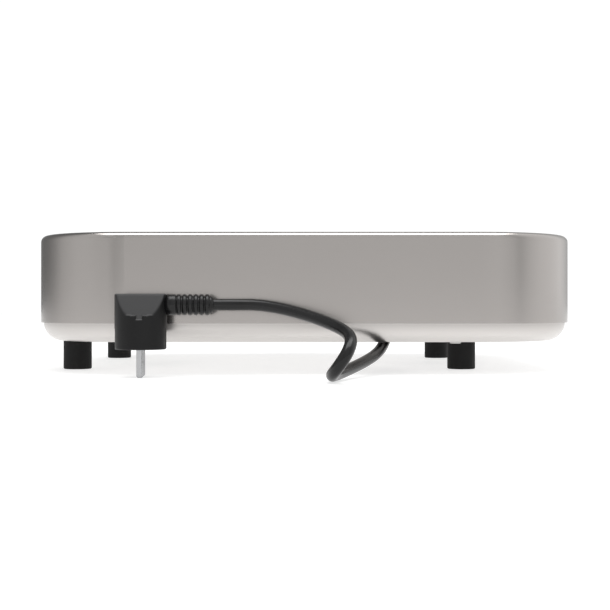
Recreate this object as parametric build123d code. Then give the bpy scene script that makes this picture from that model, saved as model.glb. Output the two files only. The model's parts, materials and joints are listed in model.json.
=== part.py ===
"""Table-top induction cooker: steel band and pan, glass top, coil, electronics, fan, controls, lead.

Millimetres. +Z is up, the floor is z = 0, the rear wall faces -Y and the control wall faces +Y.
The origin is at the bottom centre of the cooker's own box, without its lead.
"""
from build123d import *
from math import cos, pi, radians, sin, sqrt, tan
import os

# ---- driving dimensions -------------------------------------------------------------------
WIDTH = 400.0
DEPTH = 350.0
HEIGHT = 101.0
KNOB_PROUD = 20.0
SHEET = 1.2
CORNER_R = 74.0
ROLL_R = 4.6
BAND_Z = 36.3
PAN_Z = 22.7
PAN_INSET = 2.0
PAN_BEND_R = 14.0
PAN_LAP = 12.0

MID_Y = -KNOB_PROUD / 2
REAR_Y = MID_Y - DEPTH / 2
FRONT_Y = MID_Y + DEPTH / 2
WALL_IN_Y = FRONT_Y - SHEET
FLOOR_IN_Z = PAN_Z + SHEET

# glass top
GLASS_W = 376.0
GLASS_D = 326.0
GLASS_T = 4.0
GLASS_R = 62.0
GLASS_GAP = 0.3
GLASS_TOP_Z = HEIGHT - 0.4
GLASS_LOW_Z = GLASS_TOP_Z - GLASS_T
SEAL_T = 1.0
LIP_W = 10.0
LIP_TOP_Z = GLASS_LOW_Z - SEAL_T

# coil and its carrier
MICA_T = 1.0
COIL_IN_R = 26.0
COIL_OUT_R = 94.0
COIL_TURNS = 17
COIL_Z = 90.6
FORMER_T = 2.2
FERRITE = (52.0, 14.0, 6.0)
FERRITE_COUNT = 8
POST_RING_R = 106.0
POST_ANGLES = (90, 210, 330)
POST_TOP_Z = 76.0

# feet
FOOT_X = (-175.9, 121.2)
FOOT_Y = (REAR_Y + 82.9, REAR_Y + 268.9)
FOOT_R = 10.75

# fan
FAN_X = 110.0
FAN_Y = -10.0
FAN_SIZE = 92.0
FAN_T = 25.0
FAN_BORE_R = 43.5
FAN_SCREW_PITCH = 82.5
ROTOR_R = 42.0
HUB_R = 19.0
BLADES = 7

# power board
BOARD_X = (-160.0, 10.0)
BOARD_Y = (-52.0, 60.0)
BOARD_Z = 34.0
BOARD_T = 1.6

# controls on the front wall
CONTROL_Z = 68.0
KNOB_R = 21.0
SHAFT_R = 3.0
RUN_GAP = 0.05
BUTTON_X = (-36.0, -58.0)
BUTTON_R = 6.0
SLIDE_GAP = 0.3
ROCKER_X = -95.0
ROCKER_PIVOT_Y = FRONT_Y - 0.5
ROCKER_R = 9.5
ROCKER_TILT = 8.0
DISPLAY_X = 70.0
PANEL_Y = 146.0
PANEL_T = 1.6

# lead and plug
CORD_D = 8.0
PLUG_X = -111.2
PLUG_Y = REAR_Y - 19.3
PLUG_R = 17.8
PIN_LEN = 19.0
PIN_R = 2.4
PIN_PITCH = 19.0
PLUG_TOP_Z = 57.0
PLUG_TURN = 4.8
GRIP_DROP = 14.8
GRIP_TOP_Y = 7.0
GRIP_LOW_Y = 15.6
CHANNEL_HALF = 2.3
CHANNEL_DROP = 3.0
LEAD_Z = 49.5
NECK_R = 7.4
RELIEF_LEN = 31.5
TERMINAL = (24.0, -78.0)
EARTH_STUD = (90.0, -92.0)
POCKET_X = (46.0, 78.0)
POCKET_Y = (REAR_Y + 19.0, REAR_Y + 105.0)
POCKET_TOP_Z = 44.0
GLAND_X = 62.0
GLAND_Z = 31.0
GLAND_LEN = 24.0
LEAD_ROUTE = [
    (62.0, -104.0, 31.0), (62.0, -117.0, 31.0), (61.5, -133.0, 28.5), (59.5, -150.0, 23.2),
    (55.5, -167.0, 17.7), (49.5, -184.5, 13.4), (41.5, -202.0, 9.9), (33.5, -219.5, 7.2),
    (26.0, -236.5, 5.0), (20.5, -252.5, 4.1), (18.6, -266.5, 4.7), (22.4, -277.0, 10.2),
    (28.6, -278.5, 19.5), (31.6, -269.5, 27.6), (28.0, -256.5, 32.6), (16.8, -242.0, 37.8),
    (2.0, -227.0, 42.8), (-14.5, -213.0, 47.0), (-31.5, -202.5, 49.6), (-47.7, -199.0, 49.5),
    (-61.7, -200.15, 49.5),
]


# ---- helpers ------------------------------------------------------------------------------
def slab(width, depth, radius, low, high):
    """Rounded rectangular plate about the cooker's centre, from z = low to z = high."""
    outline = Pos(0, MID_Y, low) * RectangleRounded(width, depth, radius)
    return extrude(outline, high - low)


def block(x, y, z):
    """Box from three (low, high) pairs."""
    size = [high - low for low, high in (x, y, z)]
    middle = [(low + high) / 2 for low, high in (x, y, z)]
    return Pos(*middle) * Box(*size)


def rod_z(x, y, low, high, radius):
    return Pos(x, y, (low + high) / 2) * Cylinder(radius, high - low)


def rod_y(x, z, low, high, radius):
    return Pos(x, (low + high) / 2, z) * Rot(90, 0, 0) * Cylinder(radius, high - low)


def rod_x(y, z, low, high, radius):
    return Pos((low + high) / 2, y, z) * Rot(0, 90, 0) * Cylinder(radius, high - low)


def pipe(points, radius, share=0.45):
    """Round wire or tube along straight runs joined by arcs as large as the runs allow."""
    corners = [Vector(*p) for p in points]
    radii = []
    for before, corner, after in zip(corners, corners[1:], corners[2:]):
        into = corner - before
        out = after - corner
        turn = radians(into.get_angle(out))
        radii.append(share * min(into.length, out.length) / tan(turn / 2))
    path = FilletPolyline(*corners, radius=radii) if radii else Polyline(*corners)
    start = Plane(origin=corners[0], z_dir=corners[1] - corners[0])
    return sweep(start * Circle(radius), path=path), radii, path.length


def group(solids):
    return Compound(children=list(solids))


def write(name, shape):
    shape.label = name
    export_step(shape, f"parts/{name}.step")


# ---- housing ------------------------------------------------------------------------------
def glass_opening(low, high):
    return slab(GLASS_W + 2 * GLASS_GAP, GLASS_D + 2 * GLASS_GAP, GLASS_R + GLASS_GAP, low, high)


def band_shell():
    """Deep-drawn steel band with a rolled top edge, a glass well and the control cut-outs."""
    outer = slab(WIDTH, DEPTH, CORNER_R, BAND_Z, HEIGHT)
    outer = fillet(outer.edges().group_by(Axis.Z)[-1], ROLL_R)
    inner = slab(WIDTH - 2 * SHEET, DEPTH - 2 * SHEET, CORNER_R - SHEET, BAND_Z - 5, HEIGHT - SHEET)
    inner = fillet(inner.edges().group_by(Axis.Z)[-1], ROLL_R - SHEET)
    lip_low = LIP_TOP_Z - SHEET
    ring_w = GLASS_W + 2 * GLASS_GAP + 2 * SHEET
    ring_d = GLASS_D + 2 * GLASS_GAP + 2 * SHEET
    well = slab(ring_w, ring_d, GLASS_R + GLASS_GAP + SHEET, lip_low, HEIGHT - SHEET)
    mouth = slab(GLASS_W - 2 * LIP_W, GLASS_D - 2 * LIP_W, GLASS_R - LIP_W, lip_low - 5, HEIGHT)
    shell = outer - inner + well
    shell = shell - glass_opening(LIP_TOP_Z, HEIGHT + 5) - mouth
    cuts = [rod_y(0, CONTROL_Z, WALL_IN_Y - 5, FRONT_Y + 5, 3.8)]
    cuts += [rod_y(x, CONTROL_Z, WALL_IN_Y - 5, FRONT_Y + 5, BUTTON_R + SLIDE_GAP) for x in BUTTON_X]
    cuts += [block((DISPLAY_X - 23, DISPLAY_X + 23), (WALL_IN_Y - 5, FRONT_Y + 5),
                   (CONTROL_Z - 9, CONTROL_Z + 9))]
    cuts += [block((ROCKER_X - 11, ROCKER_X + 11), (WALL_IN_Y - 5, FRONT_Y + 5),
                   (CONTROL_Z - 13, CONTROL_Z + 13))]
    for cut in cuts:
        shell = shell - cut
    return shell


BRACKET_HALF = 8.0
BRACKET_REACH = 32.0
BRACKET_SCREW = 26.0


def bracket_places():
    """Position and outward angle of each bracket: two on every wall."""
    half_w = WIDTH / 2 - SHEET
    half_d = DEPTH / 2 - SHEET
    places = [((x, MID_Y - half_d), -90) for x in (-110, 110)]
    places += [((x, MID_Y + half_d), 90) for x in (-60, 60)]
    places += [((-half_w, MID_Y + y), 180) for y in (-60, 60)]
    places += [((half_w, MID_Y + y), 0) for y in (-60, 60)]
    return places


def band_brackets():
    """Pressed Z brackets, spot-welded inside the band, that the pan is screwed to."""
    step_z = PAN_Z + PAN_LAP + 14.8
    leg = block((-1.5, 0), (-BRACKET_HALF, BRACKET_HALF), (step_z, step_z + 4.5))
    shelf = block((-18, 0), (-BRACKET_HALF, BRACKET_HALF), (step_z, step_z + 1.5))
    drop = block((-18, -16.5), (-BRACKET_HALF, BRACKET_HALF), (FLOOR_IN_Z, step_z))
    flange = block((-BRACKET_REACH, -16.5), (-BRACKET_HALF, BRACKET_HALF), (FLOOR_IN_Z, FLOOR_IN_Z + 1.5))
    bracket = leg + shelf + drop + flange - rod_z(-BRACKET_SCREW, 0, PAN_Z, PAN_Z + 9, 2.0)
    return [Pos(x, y, 0) * Rot(0, 0, turn) * bracket for (x, y), turn in bracket_places()]


def housing_screw_places():
    places = []
    for (x, y), turn in bracket_places():
        places.append((x - BRACKET_SCREW * cos(radians(turn)), y - BRACKET_SCREW * sin(radians(turn))))
    return places


def pan_screw(x, y, radius, top):
    """Low-head screw driven up through the pan."""
    head = rod_z(x, y, PAN_Z - 1.3, PAN_Z, 4.1)
    head = fillet(head.edges().group_by(Axis.Z)[0], 0.9)
    cross = block((-2.4, 2.4), (-0.5, 0.5), (0, 0.9)) + block((-0.5, 0.5), (-2.4, 2.4), (0, 0.9))
    return head - Pos(x, y, PAN_Z - 1.4) * cross + rod_z(x, y, PAN_Z, top, radius)


def bottom_pan():
    """Drawn steel pan that closes the underside, with air slots and a pocket for the lead."""
    width = WIDTH - 2 * PAN_INSET
    depth = DEPTH - 2 * PAN_INSET
    radius = CORNER_R - PAN_INSET
    top = BAND_Z + PAN_LAP
    outer = slab(width, depth, radius, PAN_Z, top)
    outer = fillet(outer.edges().group_by(Axis.Z)[0], PAN_BEND_R)
    inner = slab(width - 2 * SHEET, depth - 2 * SHEET, radius - SHEET, FLOOR_IN_Z, top + 5)
    inner = fillet(inner.edges().group_by(Axis.Z)[0], PAN_BEND_R - SHEET)
    pan = outer - inner
    wall = SHEET
    pan = pan + block((POCKET_X[0] - wall, POCKET_X[1] + wall), (POCKET_Y[0] - wall, POCKET_Y[1] + wall),
                      (PAN_Z, POCKET_TOP_Z + wall))
    pan = pan - block(POCKET_X, POCKET_Y, (PAN_Z - 5, POCKET_TOP_Z))
    cuts = [rod_y(GLAND_X, GLAND_Z, POCKET_Y[1] - 5, POCKET_Y[1] + 5, 6.1)]
    cuts += [rod_z(x, y, PAN_Z - 5, PAN_Z + 5, 2.2) for x in FOOT_X for y in FOOT_Y]
    cuts += [rod_z(x, y, PAN_Z - 5, PAN_Z + 5, 2.0) for x, y in housing_screw_places()]
    cuts += [rod_z(x, y, PAN_Z - 5, PAN_Z + 5, 2.0) for x, y in fan_screw_places()]
    cuts += intake_slots() + outlet_slots()
    for cut in cuts:
        pan = pan - cut
    return pan


def slot_cut(x, y, length, width):
    outline = Pos(x, y, PAN_Z - 5) * SlotOverall(length, width)
    return extrude(outline, 10)


def intake_slots():
    """Slots under the fan, shortened to a round field."""
    rows = [FAN_Y + 8.0 * step for step in range(-4, 5)]
    return [slot_cut(FAN_X, y, 2 * sqrt(39.0 ** 2 - (y - FAN_Y) ** 2), 4.0) for y in rows]


def outlet_slots():
    """Slots for the warm air on the side away from the fan."""
    rows = [MID_Y + 9.0 * step for step in range(-5, 6)]
    return [slot_cut(-125.0, y, 44.0, 4.0) for y in rows]


def foot(x, y):
    """Moulded rubber foot with a counterbore for its screw."""
    body = rod_z(x, y, 0, PAN_Z, FOOT_R)
    body = fillet(body.edges().group_by(Axis.Z)[0], 1.0)
    return body - rod_z(x, y, -1, 12.0, 4.6) - rod_z(x, y, 10, PAN_Z + 1, 2.2)


def foot_screw(x, y):
    head = rod_z(x, y, 9.6, 12.0, 4.0)
    return head + rod_z(x, y, 12.0, 31.0, 2.1)


def foot_nut(x, y):
    outline = Pos(x, y, FLOOR_IN_Z) * RegularPolygon(4.1, 6)
    return extrude(outline, 3.2) - rod_z(x, y, PAN_Z, 40, 2.1)


# ---- glass top ----------------------------------------------------------------------------
def glass_plate():
    plate = slab(GLASS_W, GLASS_D, GLASS_R, GLASS_LOW_Z, GLASS_TOP_Z)
    return chamfer(plate.edges().group_by(Axis.Z)[-1], 0.8)


def glass_seal():
    outer = slab(GLASS_W - 2, GLASS_D - 2, GLASS_R - 1, LIP_TOP_Z, GLASS_LOW_Z)
    return outer - slab(GLASS_W - 17, GLASS_D - 17, GLASS_R - 8.5, LIP_TOP_Z - 1, GLASS_LOW_Z + 1)


def mica_sheet():
    """Insulating disc under the glass, with a hole where the sensor touches the glass."""
    disc = rod_z(0, MID_Y, GLASS_LOW_Z - MICA_T, GLASS_LOW_Z, 104)
    return disc - rod_z(0, MID_Y, GLASS_LOW_Z - 5, GLASS_LOW_Z + 1, 9)


# ---- coil ---------------------------------------------------------------------------------
def induction_coil():
    """Flat coil of stranded wire, drawn as its closed rings: one bulge to each turn."""
    pitch = (COIL_OUT_R - COIL_IN_R) / COIL_TURNS
    half = pitch / 2
    valley = 0.5 * half
    middle = COIL_Z + half
    arcs = []
    for turn in range(COIL_TURNS):
        start = COIL_IN_R + turn * pitch
        arcs.append(ThreePointArc((start, middle + valley), (start + half, middle + half),
                                  (start + pitch, middle + valley)))
    arcs.append(Line((COIL_OUT_R, middle + valley), (COIL_OUT_R, middle - valley)))
    for turn in reversed(range(COIL_TURNS)):
        start = COIL_IN_R + turn * pitch
        arcs.append(ThreePointArc((start + pitch, middle - valley), (start + half, middle - half),
                                  (start, middle - valley)))
    arcs.append(Line((COIL_IN_R, middle - valley), (COIL_IN_R, middle + valley)))
    profile = Rot(90, 0, 0) * make_face(arcs)
    return Pos(0, MID_Y, 0) * revolve(profile, Axis.Z)


def on_ring(radius, angle):
    return radius * cos(radians(angle)), MID_Y + radius * sin(radians(angle))


def coil_former():
    """Spoked plastic carrier: hub, rim, eight spokes over the ferrites and three ears."""
    top = COIL_Z
    low = COIL_Z - FORMER_T
    former = rod_z(0, MID_Y, low, top, 97) - rod_z(0, MID_Y, low - 1, top + 1, 88)
    former = former + rod_z(0, MID_Y, low - 4, top, 26)
    for index in range(FERRITE_COUNT):
        angle = 360 / FERRITE_COUNT * index
        former = former + Pos(0, MID_Y, 0) * Rot(0, 0, angle) * block((20, 90), (-9, 9), (low, top))
    for angle in POST_ANGLES:
        x, y = on_ring(POST_RING_R, angle)
        arm_x, arm_y = on_ring(94, angle)
        ear = rod_z(x, y, low, top, 8)
        middle = Pos((x + arm_x) / 2, (y + arm_y) / 2, (low + top) / 2)
        arm = middle * Rot(0, 0, angle) * Box(14, 12, FORMER_T)
        former = former + ear + arm
    for angle in POST_ANGLES:
        x, y = on_ring(POST_RING_R, angle)
        former = former - rod_z(x, y, low - 1, top + 1, 2.3)
    return former - rod_z(0, MID_Y, low - 5, top + 1, 8.5)


def ferrite_bars():
    length, width, thick = FERRITE
    top = COIL_Z - FORMER_T
    bar = block((30, 30 + length), (-width / 2, width / 2), (top - thick, top))
    bar = chamfer(bar.edges().group_by(Axis.Z)[0], 0.6)
    step = 360 / FERRITE_COUNT
    return [Pos(0, MID_Y, 0) * Rot(0, 0, step * index) * bar for index in range(FERRITE_COUNT)]


def coil_posts():
    posts = []
    for angle in POST_ANGLES:
        x, y = on_ring(POST_RING_R, angle)
        foot_disc = rod_z(x, y, FLOOR_IN_Z, FLOOR_IN_Z + 1.5, 7)
        stem = rod_z(x, y, FLOOR_IN_Z, POST_TOP_Z, 4) + rod_z(x, y, POST_TOP_Z, 94.5, 2.0)
        posts.append(foot_disc + stem)
    return posts


def coil_springs():
    """Compression springs that press the coil carrier up towards the glass."""
    wire = 0.55
    radius = 4.0
    low = POST_TOP_Z + wire
    high = COIL_Z - FORMER_T - wire
    springs = []
    for angle in POST_ANGLES:
        x, y = on_ring(POST_RING_R, angle)
        path = Helix(pitch=(high - low) / 4, height=high - low, radius=radius)
        section = Plane(origin=path @ 0, z_dir=path % 0) * Circle(wire)
        springs.append(Pos(x, y, low) * sweep(section, path=path, is_frenet=True))
    return springs


def coil_nuts():
    nuts = []
    for angle in POST_ANGLES:
        x, y = on_ring(POST_RING_R, angle)
        nuts.append(extrude(Pos(x, y, COIL_Z) * RegularPolygon(4.0, 6), 3.0) - rod_z(x, y, 80, 99, 2.0))
    return nuts


def temperature_sensor():
    """Thermistor bead in a silicone cup, held in the carrier's hub against the glass."""
    cup = rod_z(0, MID_Y, 82.0, 95.0, 8.2) - rod_z(0, MID_Y, 88.0, 99.0, 4.0)
    bead = rod_z(0, MID_Y, 88.0, GLASS_LOW_Z, 3.9)
    return cup, bead


# ---- electronics --------------------------------------------------------------------------
def board_holes():
    return [(x, y) for x in (BOARD_X[0] + 6, BOARD_X[1] - 6) for y in (BOARD_Y[0] + 6, BOARD_Y[1] - 6)]


def power_board():
    board = block(BOARD_X, BOARD_Y, (BOARD_Z, BOARD_Z + BOARD_T))
    for x, y in board_holes():
        board = board - rod_z(x, y, BOARD_Z - 1, BOARD_Z + 5, 1.7)
    return board


def board_standoffs():
    spacers = []
    for x, y in board_holes():
        sleeve = extrude(Pos(x, y, FLOOR_IN_Z) * RegularPolygon(3.6, 6), BOARD_Z - FLOOR_IN_Z)
        spacers.append(sleeve + rod_z(x, y, BOARD_Z, BOARD_Z + 5, 1.6))
    return spacers


HEAT_X = (-55.0, 4.0)
HEAT_Y = (-30.0, 40.0)


def heat_sink():
    """Extruded aluminium: a base and fins that run along X, in the fan's air."""
    top = BOARD_Z + BOARD_T
    sink = block(HEAT_X, HEAT_Y, (top + 8, top + 12))
    fins = 12
    pitch = (HEAT_Y[1] - HEAT_Y[0] - 1.6) / (fins - 1)
    for index in range(fins):
        y = HEAT_Y[0] + index * pitch
        sink = sink + block(HEAT_X, (y, y + 1.6), (top + 12, top + 38))
    for y in (HEAT_Y[0], HEAT_Y[1] - 4):
        sink = sink + block(HEAT_X, (y, y + 4), (top, top + 8))
    return sink


def device(x, y, width, depth):
    """Power device standing under the heat sink's base, on three legs."""
    top = BOARD_Z + BOARD_T
    body = block((x - width / 2, x + width / 2), (y - depth / 2, y + depth / 2), (top + 3, top + 8))
    for step in (-1, 0, 1):
        body = body + block((x + 5 * step - 0.6, x + 5 * step + 0.6), (y - 0.4, y + 0.4), (top, top + 3))
    return body


def film_capacitor(x, y, width, depth, tall):
    top = BOARD_Z + BOARD_T
    body = block((x - width / 2, x + width / 2), (y - depth / 2, y + depth / 2), (top, top + tall))
    return fillet(body.edges().filter_by(Axis.Z), 2.0)


def filter_choke():
    """Ring core wound with heavy wire, lying on the board."""
    top = BOARD_Z + BOARD_T
    choke = Pos(-135, 32, top + 8.5) * Torus(15, 7)
    return choke + rod_z(-135, 32, top, top + 4, 12)


def terminal_block():
    x, y = TERMINAL
    body = block((x - 12, x + 12), (y - 8, y + 8), (FLOOR_IN_Z, FLOOR_IN_Z + 16))
    for step in (-8, 0, 8):
        body = body - rod_z(x + step, y, FLOOR_IN_Z + 10, FLOOR_IN_Z + 20, 2.4)
    return body


def earth_stud():
    x, y = EARTH_STUD
    return rod_z(x, y, FLOOR_IN_Z, FLOOR_IN_Z + 12, 2) + rod_z(x, y, FLOOR_IN_Z, FLOOR_IN_Z + 3, 4)


def supply_leads():
    """Live and neutral cores, side by side from the gland's inner end to the terminal block."""
    x, y = TERMINAL
    start_y = POCKET_Y[1] + SHEET + 4
    cores = []
    for step, hole in ((-1, -8), (1, 0)):
        start_x = GLAND_X - 1.0 + 1.6 * step
        route = [(start_x, start_y, GLAND_Z), (start_x, start_y + 11 + 3 * step, GLAND_Z + 4),
                 (x + hole + 12, start_y + 8 + 3 * step, GLAND_Z + 16), (x + hole, y + 6, GLAND_Z + 17),
                 (x + hole, y, FLOOR_IN_Z + 10)]
        cores.append(pipe(route, 1.3)[0])
    return cores


def earth_lead():
    """Earth core from the gland's inner end to the stud on the pan."""
    x, y = EARTH_STUD
    start_y = POCKET_Y[1] + SHEET + 4
    route = [(GLAND_X + 2.6, start_y, GLAND_Z - 2), (GLAND_X + 6, start_y + 12, GLAND_Z + 1),
             (x - 6, start_y + 8, GLAND_Z + 12), (x, y + 4, GLAND_Z + 12), (x, y, FLOOR_IN_Z + 12)]
    return pipe(route, 1.3)[0]


def coil_lead(offset):
    route = [(-70 - offset, 61, 92.8), (-80 - offset, 72, 88), (-88 - offset, 66, 72),
             (-86 - offset, 50, 54), (-86 - offset, 44, BOARD_Z + BOARD_T + 1)]
    return pipe(route, 1.8)[0]


def fan_lead():
    route = [(62.4, 20, 28), (52, 26, 28), (36, 40, 34), (20, 46, 40), (6, 48, 42)]
    return pipe(route, 1.4)[0]


def ribbon_cable():
    """Flat cable from the power board to the control board."""
    thick = 0.8
    run = block((-48, -26), (BOARD_Y[1] - 4, 139), (38, 38 + thick))
    tail = block((-48, -26), (BOARD_Y[1] - 4, BOARD_Y[1] - 4 + thick), (BOARD_Z + BOARD_T, 38))
    rise = block((-48, -26), (139 - thick, 139), (38, 70))
    end = block((-48, -26), (139 - thick, PANEL_Y), (70 - thick, 70))
    return run + tail + rise + end


# ---- fan ----------------------------------------------------------------------------------
def fan_screw_places():
    half = FAN_SCREW_PITCH / 2
    return [(FAN_X + sx * half, FAN_Y + sy * half) for sx in (-1, 1) for sy in (-1, 1)]


def fan_frame():
    """Square moulded frame with its motor seat on four struts and a bearing tube."""
    low = FLOOR_IN_Z
    high = low + FAN_T
    outline = Pos(FAN_X, FAN_Y, low) * RectangleRounded(FAN_SIZE, FAN_SIZE, 5)
    frame = extrude(outline, FAN_T) - rod_z(FAN_X, FAN_Y, low - 1, high + 1, FAN_BORE_R)
    for x, y in fan_screw_places():
        frame = frame - rod_z(x, y, low - 1, high + 1, 2.0)
    for angle in (45, 135, 225, 315):
        strut = block((15, FAN_BORE_R + 1), (-2, 2), (low, low + 3))
        frame = frame + Pos(FAN_X, FAN_Y, 0) * Rot(0, 0, angle) * strut
    frame = frame + rod_z(FAN_X, FAN_Y, low, low + 3, 18)
    frame = frame + rod_z(FAN_X, FAN_Y, low + 3, low + 19, 4)
    return frame - rod_z(FAN_X, FAN_Y, low + 2, high, 1.5 + RUN_GAP)


def fan_stator():
    """Four wound poles around the bearing tube."""
    low = FLOOR_IN_Z + 6
    stator = rod_z(FAN_X, FAN_Y, low, low + 10, 7)
    for index in range(4):
        pole = block((5, 14), (-3, 3), (low, low + 10)) + block((12, 14.5), (-6, 6), (low + 2, low + 8))
        stator = stator + Pos(FAN_X, FAN_Y, 0) * Rot(0, 0, 90 * index) * pole
    return stator - rod_z(FAN_X, FAN_Y, low - 1, low + 20, 4)


def fan_rotor():
    """Hub cup, shaft and swept blades in one moulding."""
    low = FLOOR_IN_Z
    cup = rod_z(FAN_X, FAN_Y, low + 4.5, low + 23.5, HUB_R) - rod_z(FAN_X, FAN_Y, low, low + 21.5, 17)
    cup = fillet(cup.edges().group_by(Axis.Z)[-1], 1.2)
    rotor = cup + rod_z(FAN_X, FAN_Y, low + 2.5, low + 22, 1.5)
    zone = rod_z(FAN_X, FAN_Y, low + 4, low + 24, ROTOR_R) - rod_z(FAN_X, FAN_Y, low, low + 30, HUB_R - 0.5)
    for index in range(BLADES):
        blade = Pos(31, 0, low + 14) * Rot(42, 0, 0) * Rot(0, 0, 8) * Box(32, 26, 1.5)
        blade = Pos(FAN_X, FAN_Y, 0) * Rot(0, 0, 360 / BLADES * index) * blade
        rotor = rotor + (blade & zone)
    return rotor


def air_duct():
    """Folded plastic hood that turns the fan's air towards the heat sink."""
    low = FLOOR_IN_Z + FAN_T + 0.4
    high = 78.0
    wall = 1.5
    x = (8.0, FAN_X + FAN_SIZE / 2)
    y = (FAN_Y - FAN_SIZE / 2, FAN_Y + FAN_SIZE / 2)
    hood = block(x, y, (low, high))
    hood = hood - block((x[0] - 1, x[1] - wall), (y[0] + wall, y[1] - wall), (low - 1, high - wall))
    for side in (y[0], y[1] - wall):
        hood = hood + block((x[0], FAN_X - FAN_SIZE / 2), (side, side + wall), (FLOOR_IN_Z + 14, low))
    return hood


# ---- controls -----------------------------------------------------------------------------
def control_board():
    board = block((-72, 112), (PANEL_Y, PANEL_Y + PANEL_T), (56, 92))
    for x in (-66, 106):
        for z in (60, 88):
            board = board - rod_y(x, z, PANEL_Y - 1, PANEL_Y + 5, 1.7)
    return board


def panel_standoffs():
    spacers = []
    for x in (-66, 106):
        for z in (60, 88):
            sleeve = rod_y(x, z, PANEL_Y + PANEL_T, WALL_IN_Y, 3)
            spacers.append(sleeve + rod_y(x, z, PANEL_Y - 2, PANEL_Y + PANEL_T, 1.6))
    return spacers


def display_module():
    body = block((DISPLAY_X - 22, DISPLAY_X + 22), (PANEL_Y + PANEL_T, 160), (CONTROL_Z - 8, CONTROL_Z + 8))
    return fillet(body.edges().filter_by(Axis.Y), 1.0)


def display_window():
    """Tinted clear window, with a flange behind the wall."""
    lens = block((DISPLAY_X - 22.8, DISPLAY_X + 22.8), (WALL_IN_Y - 1.5, FRONT_Y + 0.4),
                 (CONTROL_Z - 8.8, CONTROL_Z + 8.8))
    flange = block((DISPLAY_X - 25, DISPLAY_X + 25), (WALL_IN_Y - 1.5, WALL_IN_Y),
                   (CONTROL_Z - 11, CONTROL_Z + 11))
    return lens + flange


def knob_encoder():
    body = block((-7, 7), (PANEL_Y + PANEL_T, 157), (CONTROL_Z - 7, CONTROL_Z + 7))
    bush = rod_y(0, CONTROL_Z, 157, FRONT_Y + 3.5, 3.5)
    return body + bush - rod_y(0, CONTROL_Z, 149, FRONT_Y + 5, SHAFT_R + RUN_GAP)


def encoder_nut():
    outline = Plane(origin=(0, FRONT_Y, CONTROL_Z), z_dir=(0, 1, 0)) * RegularPolygon(5.8, 6)
    return extrude(outline, 2.2) - rod_y(0, CONTROL_Z, FRONT_Y - 1, FRONT_Y + 5, 3.5)


def encoder_shaft():
    return rod_y(0, CONTROL_Z, 150, FRONT_Y + 16, SHAFT_R)


def control_knob():
    """Turned knob with a hollow back, a boss for the shaft, grip flutes and a cap recess."""
    back = FRONT_Y + 1.2
    front = FRONT_Y + KNOB_PROUD
    body = rod_y(0, CONTROL_Z, back, front, KNOB_R)
    body = fillet(body.edges().group_by(Axis.Y)[-1], 1.5)
    body = body - rod_y(0, CONTROL_Z, back - 1, front - 8, KNOB_R - 4)
    body = body + rod_y(0, CONTROL_Z, FRONT_Y + 4.5, front - 7, 6.5)
    body = body - rod_y(0, CONTROL_Z, back, FRONT_Y + 16, SHAFT_R)
    body = body - rod_y(0, CONTROL_Z, front - 1, front + 1, 14)
    for index in range(30):
        turn = radians(12 * index)
        x = (KNOB_R + 0.5) * cos(turn)
        z = CONTROL_Z + (KNOB_R + 0.5) * sin(turn)
        body = body - rod_y(x, z, back - 1, front - 3, 1.1)
    return body


def knob_cap():
    """Thin metal disc let into the knob, with an engraved pointer."""
    front = FRONT_Y + KNOB_PROUD
    cap = rod_y(0, CONTROL_Z, front - 1, front, 14)
    groove = Pos(0, front, CONTROL_Z) * Rot(0, 45, 0) * Box(1.4, 0.8, 7.0)
    turn = radians(225)
    return cap - Pos(9.0 * cos(turn), 0, 9.0 * sin(turn)) * groove


def push_button(x):
    cap = rod_y(x, CONTROL_Z, WALL_IN_Y - 0.6, FRONT_Y + 2.5, BUTTON_R)
    cap = fillet(cap.edges().group_by(Axis.Y)[-1], 0.8)
    return cap + rod_y(x, CONTROL_Z, 161.3, 163.2, 7.5) + rod_y(x, CONTROL_Z, 158.4, 161.3, 2.5)


def tact_switch(x):
    body = block((x - 3, x + 3), (PANEL_Y + PANEL_T, 152), (CONTROL_Z - 3, CONTROL_Z + 3))
    return body + rod_y(x, CONTROL_Z, 152, 156.9, 1.75)


def switch_frame():
    """Snap-in housing of the mains rocker."""
    low_y = 148.0
    flange = block((ROCKER_X - 13, ROCKER_X + 13), (FRONT_Y, FRONT_Y + 1.6),
                   (CONTROL_Z - 15.5, CONTROL_Z + 15.5))
    body = block((ROCKER_X - 10.8, ROCKER_X + 10.8), (low_y, FRONT_Y), (CONTROL_Z - 12.8, CONTROL_Z + 12.8))
    frame = fillet(flange.edges().filter_by(Axis.Y), 2.0) + body
    for x in (-6, 6):
        frame = frame + block((ROCKER_X + x - 2.4, ROCKER_X + x + 2.4), (low_y - 6, low_y),
                              (CONTROL_Z - 0.4, CONTROL_Z + 0.4))
    frame = frame - block((ROCKER_X - 9.3, ROCKER_X + 9.3), (low_y + 5, FRONT_Y + 5),
                          (CONTROL_Z - 9.9, CONTROL_Z + 9.9))
    return frame - rod_x(ROCKER_PIVOT_Y, CONTROL_Z, ROCKER_X - 10.2, ROCKER_X + 10.2, 1.5 + RUN_GAP)


def power_rocker():
    """Rocker with a shallow V front and round ends, on two pivot stubs, resting in its off position."""
    round_body = rod_x(0, 0, -9.0, 9.0, ROCKER_R)
    body = round_body - block((-20, 20), (-20, -6), (-20, 20))
    for side in (-1, 1):
        half = block((-20, 20), (0, 20), (0, 20) if side > 0 else (-20, 0))
        cut = Pos(0, 2.5, 0) * Rot(-ROCKER_TILT * side, 0, 0) * half
        body = body - cut
    body = body + rod_x(0, 0, -10.1, 10.1, 1.5)
    return Pos(ROCKER_X, ROCKER_PIVOT_Y, CONTROL_Z) * Rot(-ROCKER_TILT, 0, 0) * body


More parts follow.
